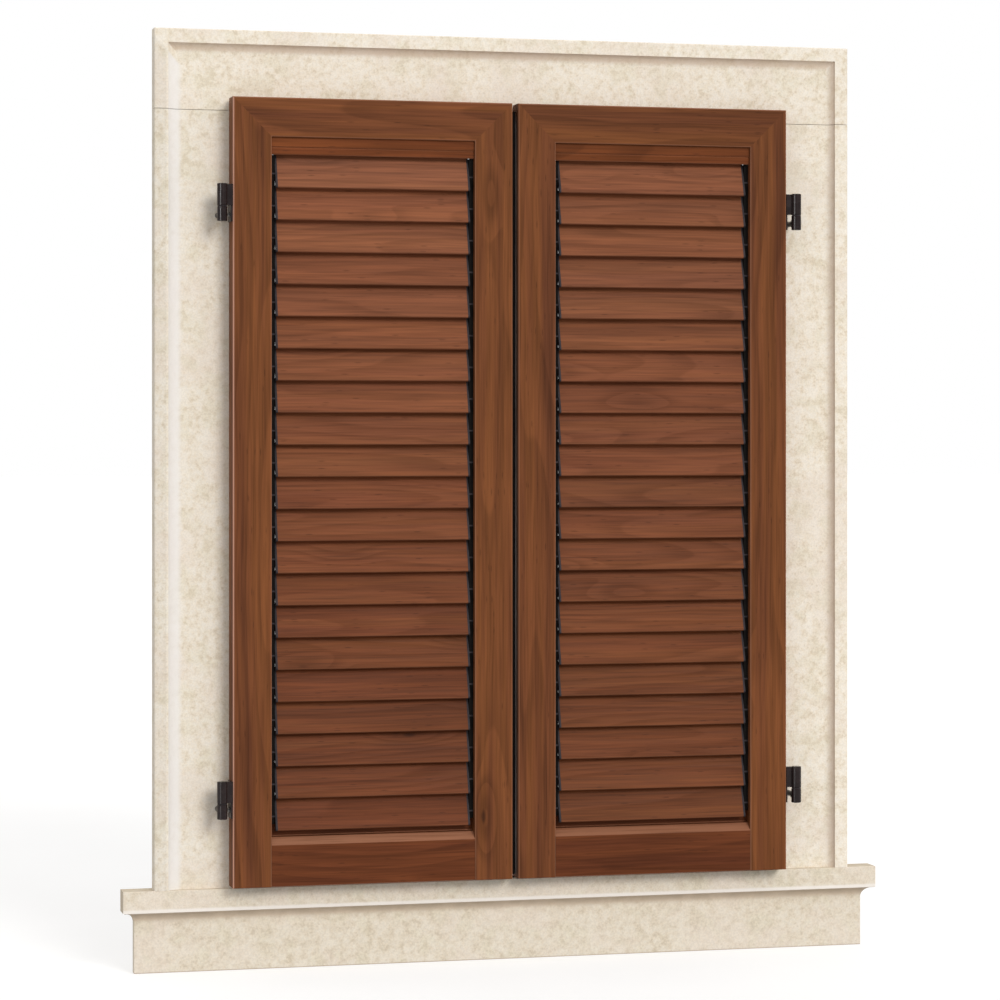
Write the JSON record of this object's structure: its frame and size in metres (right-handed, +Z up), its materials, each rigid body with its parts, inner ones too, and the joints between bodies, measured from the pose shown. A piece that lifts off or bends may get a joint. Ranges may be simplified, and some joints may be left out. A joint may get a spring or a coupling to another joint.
{
  "type": "pair of louvred window shutters",
  "caption": "Pair of outward-opening louvred shutter leaves with fixed overlapping slats, hung on wall pintles in a moulded stone window surround, closed by a turning rod.",
  "frame": {"origin": "middle of the lower edge of the sill's back face, in the wall plane", "axes": "+Z up, +Y into the wall, +X to the right seen from outside"},
  "size_m": [1.408, 0.12, 1.676],
  "materials": {
    "stone": "fine rubbed limestone, cream, lightly mottled",
    "wood_profile": "brown wood-grain coating on hollow profile, satin",
    "wood_slat": "brown wood-grain coating on hollow flat-oval slat, satin",
    "dark_plastic": "charcoal moulded plastic",
    "black_plastic": "black moulded plastic, dull",
    "bare_aluminium": "mill finish",
    "dark_iron": "dark brown-black satin paint on steel",
    "screw_steel": "dark plated steel",
    "rubber": "black soft rubber"
  },
  "bodies": {
    "surround": {"stone_lintel": "stone", "stone_jamb_left": "stone", "stone_jamb_right": "stone", "stone_sill": "stone", "wall_pintles": "dark_iron", "pintle_nuts": "dark_iron", "hinge_washers": "dark_plastic", "keeper_plates": "dark_iron", "keeper_pins": "dark_iron", "keeper_screws": "screw_steel", "stop_bumpers": "rubber"},
    "left_leaf": {"left_hinge_stile": "wood_profile", "left_meeting_stile": "wood_profile", "left_top_rail": "wood_profile", "left_bottom_rail": "wood_profile", "left_closing_strip": "wood_profile", "left_slats": "wood_slat", "left_slat_plugs": "dark_plastic", "left_slat_carriers": "black_plastic", "left_corner_cleats": "bare_aluminium", "left_rail_blocks": "bare_aluminium", "left_stile_plugs": "dark_plastic", "left_hinge_straps": "dark_iron", "left_strap_screws": "screw_steel", "meeting_seal": "rubber", "handle_catch": "dark_iron", "catch_screws": "screw_steel"},
    "right_leaf": {"right_hinge_stile": "wood_profile", "right_meeting_stile": "wood_profile", "right_top_rail": "wood_profile", "right_bottom_rail": "wood_profile", "right_closing_strip": "wood_profile", "right_slats": "wood_slat", "right_slat_plugs": "dark_plastic", "right_slat_carriers": "black_plastic", "right_corner_cleats": "bare_aluminium", "right_rail_blocks": "bare_aluminium", "right_stile_plugs": "dark_plastic", "right_hinge_straps": "dark_iron", "right_strap_screws": "screw_steel", "rod_guides": "dark_iron", "guide_screws": "screw_steel"},
    "closing_rod": {"espagnolette_rod": "dark_iron", "rod_hooks": "dark_iron", "rod_collars": "dark_iron", "handle_fork": "dark_iron", "handle_pin": "dark_iron"},
    "rod_handle": {"espagnolette_handle": "dark_iron"}
  },
  "joints": [
    {"name": "left_leaf_swing", "type": "hinge", "parent": "surround", "child": "left_leaf", "pos_m": [-0.5343, -0.111, 0.3], "axis": [0, 0, -1], "range_deg": [0, 180]},
    {"name": "right_leaf_swing", "type": "hinge", "parent": "surround", "child": "right_leaf", "pos_m": [0.5343, -0.111, 0.3], "axis": [0, 0, 1], "range_deg": [0, 180]},
    {"name": "rod_turn", "type": "hinge", "parent": "right_leaf", "child": "closing_rod", "pos_m": [0.0403, -0.038, 0.8], "axis": [0, 0, 1], "range_deg": [0, 90]},
    {"name": "handle_lift", "type": "hinge", "parent": "closing_rod", "child": "rod_handle", "pos_m": [0.0403, -0.018, 0.807], "axis": [1, 0, 0], "range_deg": [0, 90]}
  ]
}
